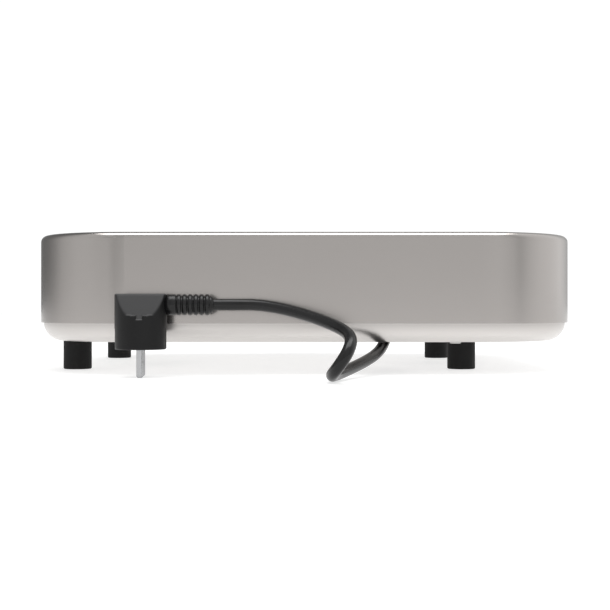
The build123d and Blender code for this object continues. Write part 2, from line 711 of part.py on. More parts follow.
# ---- lead and plug ------------------------------------------------------------------------
def cord_gland():
    """Moulded bush in the pocket's wall, with a tail that tapers onto the lead."""
    wall = POCKET_Y[1]
    end = wall - GLAND_LEN
    outline = Polyline((CORD_D / 2, end), (5.2, end), (7.4, wall - 3), (9.5, wall - 3), (9.5, wall),
                       (6.0, wall), (6.0, wall + SHEET), (6.9, wall + SHEET), (6.9, wall + SHEET + 4),
                       (CORD_D / 2, wall + SHEET + 4),
                       close=True)
    return Pos(GLAND_X, 0, GLAND_Z) * revolve(make_face(outline), Axis.Y)


def turn_plug(shape):
    """The plug stands a little turned about its own axis, and all its pieces turn with it."""
    return Pos(PLUG_X, PLUG_Y, 0) * Rot(0, 0, PLUG_TURN) * Pos(-PLUG_X, -PLUG_Y, 0) * shape


def plug_body():
    """Angled two-pin earthed plug: a round body with slanted grip faces, each with a short channel."""
    body = rod_z(PLUG_X, PLUG_Y, PIN_LEN, PLUG_TOP_Z, PLUG_R)
    body = body + rod_x(PLUG_Y, LEAD_Z, PLUG_X, PLUG_X + PLUG_R + 0.4, NECK_R)
    shelf_z = PLUG_TOP_Z - GRIP_DROP
    slope = (GRIP_LOW_Y - GRIP_TOP_Y) / GRIP_DROP
    for side in (-1, 1):
        for low_z, half in ((shelf_z, 30), (shelf_z - CHANNEL_DROP, CHANNEL_HALF)):
            low_y = GRIP_LOW_Y + slope * (shelf_z - low_z)
            top_y = GRIP_TOP_Y - slope
            profile = Polyline((top_y * side, PLUG_TOP_Z + 1), (low_y * side, low_z), (25 * side, low_z),
                               (25 * side, PLUG_TOP_Z + 1), close=True)
            face = Plane(origin=(PLUG_X - half, PLUG_Y, 0), x_dir=(0, 1, 0), z_dir=(1, 0, 0))
            body = body - extrude(face * make_face(profile), 2 * half)
        x = PLUG_X + 16.9 * side
        body = body - block((x - 1.1, x + 1.1), (PLUG_Y - 4.2, PLUG_Y + 4.2), (PIN_LEN - 1, PIN_LEN + 14))
    return turn_plug(body)


def plug_pins():
    pins = []
    for side in (-1, 1):
        pin = rod_z(PLUG_X, PLUG_Y + side * PIN_PITCH / 2, 0, PIN_LEN, PIN_R)
        pins.append(turn_plug(chamfer(pin.edges().group_by(Axis.Z)[0], 0.9)))
    return pins


def earth_clips():
    clips = []
    for side in (-1, 1):
        x = PLUG_X + 16.2 * side
        clip = block((x - 0.4, x + 0.4), (PLUG_Y - 4, PLUG_Y + 4), (PIN_LEN, PIN_LEN + 14))
        clips.append(turn_plug(clip))
    return clips


def plug_relief():
    """Bend relief of the plug, along the lead: a plain neck, six round ribs and a short cone."""
    start = PLUG_R + 0.4
    pitch = (RELIEF_LEN - 2.0 - 6.2) / 6
    end = start + RELIEF_LEN
    outline = [Line((start, 0), (start, NECK_R - 0.2)),
               Line((start, NECK_R - 0.2), (start + 5.6, NECK_R - 0.2)),
               Line((start + 5.6, NECK_R - 0.2), (start + 6.2, 6.1))]
    for rib in range(6):
        x = start + 6.2 + rib * pitch
        outline.append(ThreePointArc((x, 6.1), (x + 0.4 * pitch, NECK_R - 0.1), (x + 0.8 * pitch, 6.1)))
        outline.append(Line((x + 0.8 * pitch, 6.1), (x + pitch, 6.1)))
    outline += [Line((end - 2.0, 6.1), (end, 4.7)), Line((end, 4.7), (end, 0)), Line((end, 0), (start, 0))]
    return turn_plug(Pos(PLUG_X, PLUG_Y, LEAD_Z) * revolve(make_face(outline), Axis.X))


def power_cord():
    cord, radii, length = pipe(LEAD_ROUTE, CORD_D / 2)
    print("lead: length", round(length, 1), "bend radii", [round(r, 1) for r in radii])
    print("lead: volume", round(cord.volume), "section x length", round(pi * CORD_D ** 2 / 4 * length))
    return cord


# ---- write --------------------------------------------------------------------------------
def main():
    os.makedirs("parts", exist_ok=True)
    write("band_shell", band_shell())
    write("band_brackets", group(band_brackets()))
    write("bottom_pan", bottom_pan())
    places = housing_screw_places()
    write("housing_screws", group(pan_screw(x, y, 1.95, FLOOR_IN_Z + 5) for x, y in places))
    rows = {"rear": FOOT_Y[0], "front": FOOT_Y[1]}
    columns = {"left": FOOT_X[0], "right": FOOT_X[1]}
    for row, y in rows.items():
        for column, x in columns.items():
            write(f"foot_{row}_{column}", foot(x, y))
    write("foot_screws", group(foot_screw(x, y) for x in FOOT_X for y in FOOT_Y))
    write("foot_nuts", group(foot_nut(x, y) for x in FOOT_X for y in FOOT_Y))
    write("glass_plate", glass_plate())
    write("glass_seal", glass_seal())
    write("mica_sheet", mica_sheet())
    write("induction_coil", induction_coil())
    write("coil_former", coil_former())
    write("ferrite_bars", group(ferrite_bars()))
    write("coil_posts", group(coil_posts()))
    write("coil_springs", group(coil_springs()))
    write("coil_nuts", group(coil_nuts()))
    cup, bead = temperature_sensor()
    write("sensor_cup", cup)
    write("temperature_sensor", bead)
    write("power_board", power_board())
    write("board_standoffs", group(board_standoffs()))
    write("heat_sink", heat_sink())
    write("power_transistors", group(device(x, -2, 16, 20) for x in (-44, -26)))
    write("bridge_rectifier", device(-12, 20, 20, 6))
    capacitors = (film_capacitor(-90, 6, 42, 24, 36), film_capacitor(-90, -30, 32, 18, 28))
    write("film_capacitors", group(capacitors))
    write("filter_choke", filter_choke())
    write("terminal_block", terminal_block())
    write("earth_stud", earth_stud())
    write("supply_leads", group(supply_leads()))
    write("earth_lead", earth_lead())
    write("coil_leads", group(coil_lead(offset) for offset in (0, 6)))
    write("fan_lead", fan_lead())
    write("ribbon_cable", ribbon_cable())
    write("fan_frame", fan_frame())
    write("fan_stator", fan_stator())
    write("fan_rotor", fan_rotor())
    write("fan_screws", group(pan_screw(x, y, 1.95, FLOOR_IN_Z + 20) for x, y in fan_screw_places()))
    write("air_duct", air_duct())
    write("control_board", control_board())
    write("panel_standoffs", group(panel_standoffs()))
    write("display_module", display_module())
    write("display_window", display_window())
    write("knob_encoder", knob_encoder())
    write("encoder_nut", encoder_nut())
    write("encoder_shaft", encoder_shaft())
    write("control_knob", control_knob())
    write("knob_cap", knob_cap())
    write("tact_switches", group(tact_switch(x) for x in BUTTON_X))
    write("plus_button", push_button(BUTTON_X[0]))
    write("minus_button", push_button(BUTTON_X[1]))
    write("switch_frame", switch_frame())
    write("power_rocker", power_rocker())
    write("cord_gland", cord_gland())
    write("power_cord", power_cord())
    write("plug_relief", plug_relief())
    write("plug_body", plug_body())
    write("plug_pins", group(plug_pins()))
    write("plug_earth_clips", group(earth_clips()))


main()
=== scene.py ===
# %% [markdown]
# # A table-top induction cooker
#
# The structure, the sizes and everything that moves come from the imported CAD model, which is
# loaded here as a fixed frame. This file gives it its looks: the camera and lights, the lead, the
# finishes of every piece, and the pieces whose shape is softer or finer than the CAD solid's.
# All lengths are in metres. The cooker stands on z = 0 and its rear wall faces -Y.

# %% Load the frame
import json
import math

import bmesh
import bpy
import numpy as np
from mathutils import Matrix, Vector
from mathutils.bvhtree import BVHTree


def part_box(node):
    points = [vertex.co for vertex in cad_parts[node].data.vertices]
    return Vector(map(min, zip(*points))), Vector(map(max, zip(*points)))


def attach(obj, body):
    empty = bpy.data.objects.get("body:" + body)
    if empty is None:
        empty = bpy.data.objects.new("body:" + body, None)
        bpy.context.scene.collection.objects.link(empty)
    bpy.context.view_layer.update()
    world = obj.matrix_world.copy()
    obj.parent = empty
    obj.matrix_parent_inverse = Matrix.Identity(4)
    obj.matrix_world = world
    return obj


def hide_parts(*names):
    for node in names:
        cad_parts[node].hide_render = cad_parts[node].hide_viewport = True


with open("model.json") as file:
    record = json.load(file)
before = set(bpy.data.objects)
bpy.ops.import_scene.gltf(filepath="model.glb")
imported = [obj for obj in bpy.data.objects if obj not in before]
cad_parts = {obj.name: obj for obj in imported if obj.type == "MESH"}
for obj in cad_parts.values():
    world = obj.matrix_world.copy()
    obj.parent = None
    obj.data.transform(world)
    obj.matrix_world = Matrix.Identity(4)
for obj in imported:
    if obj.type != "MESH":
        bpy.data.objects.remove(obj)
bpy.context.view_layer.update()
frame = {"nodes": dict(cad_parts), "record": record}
nodes = frame["nodes"]
MM = 0.001
print("CAD nodes:", len(nodes))

# %% [markdown]
# ## Where things are
#
# Every position is read from a CAD node's box, so a new pack moves the looks with it.

# %% Read the driving positions
band_low, band_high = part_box("band_shell")
PAN_LOW_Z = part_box("bottom_pan")[0].z
GLASS_TOP_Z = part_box("glass_plate")[1].z
REAR_Y = band_low.y
FRONT_Y = band_high.y
print("band from", round(band_low.z, 4), "to", round(band_high.z, 4), "high")


def middle_of(node):
    """The middle of a CAD node's box."""
    low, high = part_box(node)
    return (low + high) / 2


# %% [markdown]
# ## Camera, floor and light
#
# A long lens held level, just under half the cooker's height, shows the wall without any tilt, the
# way a catalogue shows an appliance's back. The floor is a pale light table, and the world
# behind it is just as white, so its edge can't be seen. Metal takes its shading from what stands
# round it. That could be a set of light panels, but their edges would show in the steel, so the
# world itself is a ring of wall tones: even behind the camera, dark on the left, bright on the
# right. One wide soft light hangs overhead for the top edge and the table.

# %% Camera
EYE = Vector((9.8 * MM, REAR_Y - 799 * MM, 49.3 * MM))
LENS_MM = 67.16
SENSOR_MM = 36
LENS_SHIFT = -0.0203

camera_data = bpy.data.cameras.new("camera")
camera_data.lens = LENS_MM
camera_data.sensor_width = SENSOR_MM
camera_data.shift_x = LENS_SHIFT
camera_data.clip_start = 0.01
camera_data.clip_end = 50
camera = bpy.data.objects.new("camera", camera_data)
camera.location = EYE
camera.rotation_euler = (math.radians(90), 0, 0)
bpy.context.scene.collection.objects.link(camera)
bpy.context.scene.camera = camera
bpy.context.scene.view_settings.view_transform = "Standard"
print("camera:", round(REAR_Y - EYE.y, 3), "m behind the rear wall")


# %% Small helpers for meshes
def link(piece):
    """Puts a new object in the scene."""
    bpy.context.scene.collection.objects.link(piece)
    return piece


def mesh_piece(name, points, faces, smooth=True):
    """A new mesh object from points and faces."""
    mesh = bpy.data.meshes.new(name)
    mesh.from_pydata([tuple(p) for p in points], [], faces)
    mesh.update()
    mesh.polygons.foreach_set("use_smooth", [smooth] * len(mesh.polygons))
    return link(bpy.data.objects.new(name, mesh))


def dress(piece, material, body="housing", stands_for=()):
    """Gives a new piece its material and its body, and hides the CAD nodes it stands for."""
    piece.data.materials.clear()
    piece.data.materials.append(material)
    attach(piece, body)
    if stands_for:
        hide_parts(*stands_for)
    return piece


# %% Floor
FLOOR_DROP = 0.0002
FLOOR_HALF = 6.0
floor_corners = [(across * FLOOR_HALF, along * FLOOR_HALF, -FLOOR_DROP)
                 for across, along in ((-1, -1), (1, -1), (1, 1), (-1, 1))]
floor = mesh_piece("studio_floor", floor_corners, [(0, 1, 2, 3)])
print("floor:", 2 * FLOOR_HALF, "m square")


# %% Lights and world
def area_light(name, place, aim, size, power):
    """A rectangular light at place, size metres wide and deep, that shines towards aim."""
    data = bpy.data.lights.new(name, "AREA")
    data.shape = "RECTANGLE"
    data.size, data.size_y = size
    data.energy = power
    light = link(bpy.data.objects.new(name, data))
    light.location = place
    light.rotation_euler = (Vector(aim) - Vector(place)).to_track_quat("-Z", "Y").to_euler()
    return light


area_light("overhead", place=(0, -0.45, 2.2), aim=(0, -0.45, 0), size=(2.4, 1.5), power=44)

SKY_SEEN = 1.05
# Brightness of the studio's walls, as (degrees from -Y, turning towards +X; brightness).
WALL_TONES = [
    (-180, 0.6), (-160, 0.25), (-140, 0.22), (-122, 0.3), (-108, 0.46), (-91, 0.8),
    (-69, 0.97), (-50, 0.96), (-37, 0.88), (-29, 0.92), (-20, 0.62), (-11, 0.95),
    (8, 1.0), (28, 1.05), (46, 0.9), (53, 0.72), (64, 0.98), (81, 1.2),
    (103, 1.3), (121, 1.35), (135, 1.0), (150, 0.6), (170, 0.5), (180, 0.6),
]


def build_world():
    """White for the camera. For light and reflections, a ring of wall tones round the cooker."""
    world = bpy.data.worlds.new("studio")
    world.use_nodes = True
    tree = world.node_tree
    tree.nodes.clear()
    place = tree.nodes.new("ShaderNodeTexCoord")
    split = tree.nodes.new("ShaderNodeSeparateXYZ")
    back = tree.nodes.new("ShaderNodeMath")
    back.operation = "MULTIPLY"
    back.inputs[1].default_value = -1.0
    angle = tree.nodes.new("ShaderNodeMath")
    angle.operation = "ARCTAN2"
    span = tree.nodes.new("ShaderNodeMapRange")
    span.inputs["From Min"].default_value = -math.pi
    span.inputs["From Max"].default_value = math.pi
    ramp = tree.nodes.new("ShaderNodeValToRGB")
    stops = ramp.color_ramp.elements
    while len(stops) < len(WALL_TONES):
        stops.new(0.5)
    for stop, (degrees, tone) in zip(stops, WALL_TONES):
        stop.position = (degrees + 180) / 360
        stop.color = (tone, tone, tone, 1)
    lit = tree.nodes.new("ShaderNodeBackground")
    seen = tree.nodes.new("ShaderNodeBackground")
    seen.inputs["Color"].default_value = (1, 1, 1, 1)
    seen.inputs["Strength"].default_value = SKY_SEEN
    ray = tree.nodes.new("ShaderNodeLightPath")
    blend = tree.nodes.new("ShaderNodeMixShader")
    out = tree.nodes.new("ShaderNodeOutputWorld")
    tree.links.new(place.outputs["Generated"], split.inputs["Vector"])
    tree.links.new(split.outputs["Y"], back.inputs[0])
    tree.links.new(split.outputs["X"], angle.inputs[0])
    tree.links.new(back.outputs[0], angle.inputs[1])
    tree.links.new(angle.outputs[0], span.inputs["Value"])
    tree.links.new(span.outputs["Result"], ramp.inputs["Fac"])
    tree.links.new(ramp.outputs["Color"], lit.inputs["Color"])
    tree.links.new(ray.outputs["Is Camera Ray"], blend.inputs["Fac"])
    tree.links.new(lit.outputs["Background"], blend.inputs[1])
    tree.links.new(seen.outputs["Background"], blend.inputs[2])
    tree.links.new(blend.outputs["Shader"], out.inputs["Surface"])
    return world


bpy.context.scene.world = build_world()

# %% [markdown]
# ## Finishes, in parts
#
# A finish is more than a colour: metal has grain, plastic has a fine mould texture, and hands and
# shelves leave smudges, dust and rubbed edges. Each of these effects is made once as a node group
# that puts out a mask, and every material places the groups it needs with its own values.
# The alternatives are painted textures, which need image files, and one large node tree per
# material, which repeats itself. Groups keep each effect in one place.


# %% Node group helpers
def mask_group(name, **inputs):
    """An empty shader group with the given float inputs and their defaults, which puts out Mask."""
    group = bpy.data.node_groups.new(name, "ShaderNodeTree")
    number = "NodeSocketFloat"
    for label, value in inputs.items():
        socket = group.interface.new_socket(name=label, in_out="INPUT", socket_type=number)
        socket.default_value = value
    group.interface.new_socket(name="Mask", in_out="OUTPUT", socket_type=number)
    return group, group.nodes.new("NodeGroupInput").outputs, group.nodes.new("NodeGroupOutput")


def wire(tree, source, target):
    """Links one socket to another."""
    tree.links.new(source, target)


def math_node(tree, operation, first, second=None, clamp=False):
    """One step of arithmetic on sockets or plain numbers."""
    node = tree.nodes.new("ShaderNodeMath")
    node.operation = operation
    node.use_clamp = clamp
    for index, value in enumerate((first, second)):
        if value is None:
            continue
        if isinstance(value, (int, float)):
            node.inputs[index].default_value = value
        else:
            wire(tree, value, node.inputs[index])
    return node.outputs[0]


def noise_node(tree, vector, scale, detail=2.0, roughness=0.5):
    """Noise at a place. Scale is a number or a socket."""
    node = tree.nodes.new("ShaderNodeTexNoise")
    node.inputs["Detail"].default_value = detail
    node.inputs["Roughness"].default_value = roughness
    if isinstance(scale, (int, float)):
        node.inputs["Scale"].default_value = scale
    else:
        wire(tree, scale, node.inputs["Scale"])
    wire(tree, vector, node.inputs["Vector"])
    return node.outputs["Fac"]


def object_place(tree):
    """Where a point is in its own piece, in metres, so that grain stays on it as it moves."""
    return tree.nodes.new("ShaderNodeTexCoord").outputs["Object"]


def parts_of(tree, vector):
    """The X, Y and Z of a vector socket."""
    split = tree.nodes.new("ShaderNodeSeparateXYZ")
    wire(tree, vector, split.inputs["Vector"])
    return split.outputs


def facing_up(tree):
    """How much the surface faces the sky: 1 on a table, 0 on a wall and below."""
    normal = tree.nodes.new("ShaderNodeNewGeometry").outputs["Normal"]
    return math_node(tree, "MAXIMUM", parts_of(tree, normal)["Z"], 0.0)


# %% Fine grain: the even texture of a mould or a casting
def build_fine_grain():
    tree, given, out = mask_group("fine_grain", Scale=900.0)
    grain = noise_node(tree, object_place(tree), given["Scale"], detail=4.0, roughness=0.6)
    wire(tree, grain, out.inputs["Mask"])
    return tree


# %% Brushed lines: noise squeezed along one axis, so that it draws long thin streaks
def build_brushed_lines():
    """Lines that run round the walls at a constant height. Across is how many there are a metre."""
    tree, given, out = mask_group("brushed_lines", Along=5.0, Across=2600.0)
    place = parts_of(tree, object_place(tree))
    join = tree.nodes.new("ShaderNodeCombineXYZ")
    for axis, factor in (("X", "Along"), ("Y", "Along"), ("Z", "Across")):
        stretched = math_node(tree, "MULTIPLY", place[axis], given[factor])
        wire(tree, stretched, join.inputs[axis])
    streaks = noise_node(tree, join.outputs["Vector"], 1.0, detail=3.0, roughness=0.65)
    wire(tree, streaks, out.inputs["Mask"])
    return tree


# %% Smudges: broad faint clouds where hands and cloths have been
def build_smudges():
    tree, given, out = mask_group("smudges", Scale=14.0, Sharpness=2.5)
    cloud = noise_node(tree, object_place(tree), given["Scale"], detail=6.0, roughness=0.62)
    centred = math_node(tree, "SUBTRACT", cloud, 0.45)
    patches = math_node(tree, "MULTIPLY", centred, given["Sharpness"], clamp=True)
    wire(tree, patches, out.inputs["Mask"])
    return tree


# %% Dust: settles where the surface faces up, in patches
def build_dust():
    tree, given, out = mask_group("dust", Amount=0.5)
    settling = math_node(tree, "POWER", facing_up(tree), 3.0)
    patch = noise_node(tree, object_place(tree), 240.0, detail=5.0, roughness=0.7)
    settled = math_node(tree, "MULTIPLY", settling, patch)
    wire(tree, math_node(tree, "MULTIPLY", settled, given["Amount"]), out.inputs["Mask"])
    return tree


# %% Scuffs: thin scratches in all directions, from two stretched noises
def build_scuffs():
    tree, given, out = mask_group("scuffs", Scale=60.0, Threshold=0.66)
    masks = []
    for tilt in (0.6, -0.9):
        turn = tree.nodes.new("ShaderNodeMapping")
        turn.inputs["Rotation"].default_value = (tilt, tilt * 0.7, tilt)
        turn.inputs["Scale"].default_value = (1.0, 14.0, 14.0)
        wire(tree, object_place(tree), turn.inputs["Vector"])
        streaks = noise_node(tree, turn.outputs["Vector"], given["Scale"])
        over = math_node(tree, "SUBTRACT", streaks, given["Threshold"])
        masks.append(math_node(tree, "MULTIPLY", over, 8.0, clamp=True))
    wire(tree, math_node(tree, "MAXIMUM", *masks), out.inputs["Mask"])
    return tree


# %% Rub line: bare or polished edges at a stated height, broken up by noise
def build_rub_line():
    """A mask along the height Level, Width thick: where a sheet's edge is rubbed in use."""
    tree, given, out = mask_group("rub_line", Level=0.1, Width=0.002)
    height = parts_of(tree, object_place(tree))["Z"]
    offset = math_node(tree, "SUBTRACT", height, given["Level"])
    away = math_node(tree, "DIVIDE", math_node(tree, "ABSOLUTE", offset), given["Width"])
    near = math_node(tree, "SUBTRACT", 1.0, away, clamp=True)
    breaks = noise_node(tree, object_place(tree), 90.0, detail=5.0, roughness=0.7)
    wire(tree, math_node(tree, "MULTIPLY", near, breaks, clamp=True), out.inputs["Mask"])
    return tree


# %% Height fade: from 0 at the height High to 1 at the height Low
def build_height_fade():
    """For finishes that change down a wall, such as the pan's painted reflection, paler towards its
    bottom.
    """
    tree, given, out = mask_group("height_fade", High=0.1, Low=0.0)
    height = parts_of(tree, object_place(tree))["Z"]
    span = math_node(tree, "SUBTRACT", given["High"], given["Low"])
    down = math_node(tree, "SUBTRACT", given["High"], height)
    wire(tree, math_node(tree, "DIVIDE", down, span, clamp=True), out.inputs["Mask"])
    return tree


# %% Slope: how far a face leans back to the sky
def build_slope():
    tree, given, out = mask_group("slope", Gain=1.0)
    lean = math_node(tree, "MULTIPLY", facing_up(tree), given["Gain"], clamp=True)
    wire(tree, lean, out.inputs["Mask"])
    return tree


GROUPS = {
    "height_fade": build_height_fade(),
    "slope": build_slope(),
    "grain": build_fine_grain(),
    "brushed": build_brushed_lines(),
    "smudges": build_smudges(),
    "dust": build_dust(),
    "scuffs": build_scuffs(),
    "rub": build_rub_line(),
}
print("effect groups:", sorted(GROUPS))


# %% A finish: one Principled surface and the effects laid on it
class Finish:
    """Builds one material. Colours and roughness vary through masks; what is constant is set on
    the shader's own socket."""

    def __init__(self, name, colour, roughness, metallic=0.0, specular=0.5):
        self.material = bpy.data.materials.new(name)
        self.material.use_nodes = True
        self.tree = self.material.node_tree
        self.shader = self.tree.nodes["Principled BSDF"]
        self.shader.inputs["Base Color"].default_value = (*colour, 1)
        self.shader.inputs["Roughness"].default_value = roughness
        self.shader.inputs["Metallic"].default_value = metallic
        self.shader.inputs["Specular IOR Level"].default_value = specular
        self.colour = (*colour, 1)
        self.roughness = roughness
        self.colour_link = None
        self.rough_link = None
        self.height_link = None

    def effect(self, group, **values):
        """Places an effect's group in this material with its own values, and gives its mask."""
        node = self.tree.nodes.new("ShaderNodeGroup")
        node.node_tree = GROUPS[group]
        for label, value in values.items():
            node.inputs[label].default_value = value
        return node.outputs["Mask"]

    def tint(self, mask, colour, strength):
        """Mixes another colour in where the mask is bright."""
        mix = self.tree.nodes.new("ShaderNodeMix")
        mix.data_type = "RGBA"
        share = math_node(self.tree, "MULTIPLY", mask, strength, clamp=True)
        wire(self.tree, share, mix.inputs["Factor"])
        if self.colour_link is None:
            mix.inputs["A"].default_value = self.colour
        else:
            wire(self.tree, self.colour_link, mix.inputs["A"])
        mix.inputs["B"].default_value = (*colour, 1)
        self.colour_link = mix.outputs["Result"]
        wire(self.tree, self.colour_link, self.shader.inputs["Base Color"])
        return self

    def roughen(self, mask, amount):
        """Adds amount times the mask to the roughness."""
        start = self.roughness if self.rough_link is None else self.rough_link
        scaled = math_node(self.tree, "MULTIPLY", mask, amount)
        self.rough_link = math_node(self.tree, "ADD", scaled, start, clamp=True)
        wire(self.tree, self.rough_link, self.shader.inputs["Roughness"])
        return self

    def bump(self, mask, depth, strength=1.0):
        """Raises the surface by depth metres where the mask is bright."""
        node = self.tree.nodes.new("ShaderNodeBump")
        node.inputs["Strength"].default_value = strength
        node.inputs["Distance"].default_value = depth
        wire(self.tree, mask, node.inputs["Height"])
        if self.height_link is not None:
            wire(self.tree, self.height_link, node.inputs["Normal"])
        self.height_link = node.outputs["Normal"]
        wire(self.tree, self.height_link, self.shader.inputs["Normal"])
        return self


# %% [markdown]
# ## Steel
#
# The band is satin stainless steel, a warm grey that mirrors what stands close to it in a soft
# way. The pan under it is paler, and its bend is painted paler still towards the bottom: a painted
# reflection of the bright table below it. Both are fully metallic, so their colour is the base
# colour times what they reflect. The grain could be a bump or an anisotropic shader, but a bump
# this fine speckles where the sheet bends, and anisotropy would stretch reflections that are
# nearly round on this sheet. So fine lines round the walls vary colour and roughness only.


# %% Steel finishes
def band_steel():
    """Satin sheet with faint lines round the walls and a lower edge rubbed paler."""
    finish = Finish("band_steel", (0.355, 0.336, 0.322), 0.16, metallic=1.0)
    lines = finish.effect("brushed", Along=5.0, Across=2600.0)
    smudge = finish.effect("smudges", Scale=11.0, Sharpness=2.2)
    finish.tint(lines, (0.375, 0.356, 0.342), 0.25)
    finish.roughen(lines, 0.03).roughen(smudge, 0.04)
    rub = finish.effect("rub", Level=band_low.z, Width=0.0012)
    finish.tint(rub, (0.45, 0.43, 0.41), 0.4)
    return finish.material


def pan_steel():
    """Pressed sheet: grey underneath, painted much paler towards the bottom of its bend, a painted
    reflection of the bright table.
    """
    finish = Finish("pan_steel", (0.44, 0.42, 0.406), 0.28, metallic=1.0)
    # Painted reflection: the pan's colour runs paler towards its bottom, standing in for the bright
    # table the bend mirrors.
    painted_reflection_fade = finish.effect("height_fade", High=band_low.z - 0.0015, Low=PAN_LOW_Z + 0.002)
    finish.tint(painted_reflection_fade, (0.74, 0.715, 0.694), 1.0)
    smudge = finish.effect("smudges", Scale=9.0, Sharpness=2.0)
    grain = finish.effect("grain", Scale=1500.0)
    finish.tint(smudge, (0.56, 0.54, 0.52), 0.15)
    finish.roughen(smudge, 0.06).roughen(grain, 0.04)
    finish.bump(grain, 0.000003, 0.2)
    scuffs = finish.effect("scuffs", Scale=45.0, Threshold=0.68)
    finish.roughen(scuffs, 0.15)
    return finish.material


def small_steel():
    """Zinc-plated screws, nuts and brackets."""
    finish = Finish("fastener_steel", (0.56, 0.555, 0.54), 0.32, metallic=1.0)
    grain = finish.effect("grain", Scale=1800.0)
    finish.tint(grain, (0.42, 0.42, 0.41), 0.4)
    finish.roughen(grain, 0.12).bump(grain, 0.00001, 0.3)
    return finish.material


def pin_nickel():
    """Nickel-plated brass, scratched by sockets."""
    finish = Finish("pin_nickel", (0.4, 0.403, 0.41), 0.2, metallic=1.0)
    scuffs = finish.effect("scuffs", Scale=220.0, Threshold=0.6)
    finish.tint(scuffs, (0.3, 0.3, 0.31), 0.5).roughen(scuffs, 0.2)
    grain = finish.effect("grain", Scale=2500.0)
    finish.bump(grain, 0.000004, 0.2)
    return finish.material


# %% [markdown]
# ## Black plastics and rubbers
#
# Blacks that must not look alike: the plug is satin moulded plastic with a fine spark texture,
# the lead's sheath is soft and a little glossier, the feet are dull rubber with dust, and the
# knob is a finer, harder plastic. One material could be shared, but then they would merge into
# one silhouette. One function takes roughness, grain size, dust and scuffs, and each gets its own.
# The plug's slanted grips catch the sky, so a painted sheen on its up-facing slopes lifts them
# towards grey.


# %% Black finishes
def black_finish(name, colour, roughness, grain_scale, grain_depth, dust=0.1, scuff=0.1,
                 specular=0.3, slope=0.0):
    finish = Finish(name, colour, roughness, specular=specular)
    grain = finish.effect("grain", Scale=grain_scale)
    finish.roughen(grain, 0.08).bump(grain, grain_depth, 0.35)
    pale = tuple(min(1.0, c + 0.05) for c in colour)
    finish.tint(finish.effect("dust", Amount=dust), pale, 1.0)
    scuffs = finish.effect("scuffs", Scale=120.0, Threshold=0.66)
    finish.tint(scuffs, pale, scuff).roughen(scuffs, 0.12)
    # Painted sheen: faces that lean up to the sky are tinted towards grey, standing in for the
    # light they catch.
    if slope:
        finish.tint(finish.effect("slope", Gain=1.6), (0.045, 0.045, 0.046), slope)
    return finish.material


plug_black = black_finish("plug_black", (0.005, 0.005, 0.0052), 0.34, 2600.0, 0.000006,
                          dust=0.03, specular=0.2, slope=0.8)
cord_black = black_finish("cord_black", (0.005, 0.005, 0.0052), 0.2, 1600.0, 0.000002, dust=0.02)
foot_rubber = black_finish("foot_rubber", (0.007, 0.007, 0.0072), 0.6, 1400.0, 0.00002,
                           dust=0.2, scuff=0.2, specular=0.2)
knob_black = black_finish("knob_black", (0.014, 0.014, 0.015), 0.36, 3000.0, 0.000006)
fan_plastic = black_finish("fan_plastic", (0.02, 0.02, 0.021), 0.48, 1500.0, 0.00002, dust=0.4)
device_black = black_finish("device_black", (0.025, 0.025, 0.025), 0.5, 1800.0, 0.00003, dust=0.3)
lead_black = black_finish("lead_black", (0.03, 0.03, 0.031), 0.4, 1500.0, 0.00001, dust=0.3)
window_tint = black_finish("window_tint", (0.01, 0.01, 0.012), 0.08, 900.0, 0.000002, dust=0.05)

# %% [markdown]
# ## Glass, and the pieces inside
#
# The top is ceramic glass, black right through, so an opaque glossy surface with wiping marks is
# all that it needs. The pieces inside are seen only when the cooker is open: mica, copper,
# ferrite, boards and leads. Each could have its own material tree, but a base colour with the
# same grain and smudges at its own scale tells them apart well enough.


# %% Glass and plain finishes
def glass_black():
    """Ceramic glass: opaque black with a polished face and faint wiping marks."""
    finish = Finish("glass_black", (0.006, 0.006, 0.007), 0.04, specular=0.55)
    smudge = finish.effect("smudges", Scale=7.0, Sharpness=2.0)
    scuffs = finish.effect("scuffs", Scale=28.0, Threshold=0.7)
    dust = finish.effect("dust", Amount=0.06)
    finish.roughen(smudge, 0.07).roughen(scuffs, 0.15)
    finish.tint(dust, (0.3, 0.3, 0.3), 0.5)
    return finish.material


def plain_finish(name, colour, roughness, grain_scale, depth, other=None, share=0.4, metallic=0.0):
    """Grain in colour, roughness and height, for the pieces that are seen only when it is open."""
    finish = Finish(name, colour, roughness, metallic=metallic)
    grain = finish.effect("grain", Scale=grain_scale)
    darker = other or tuple(c * 0.7 for c in colour)
    finish.tint(grain, darker, share).roughen(grain, 0.1).bump(grain, depth, 0.3)
    smudge = finish.effect("smudges", Scale=60.0, Sharpness=2.5)
    finish.roughen(smudge, 0.08)
    return finish.material


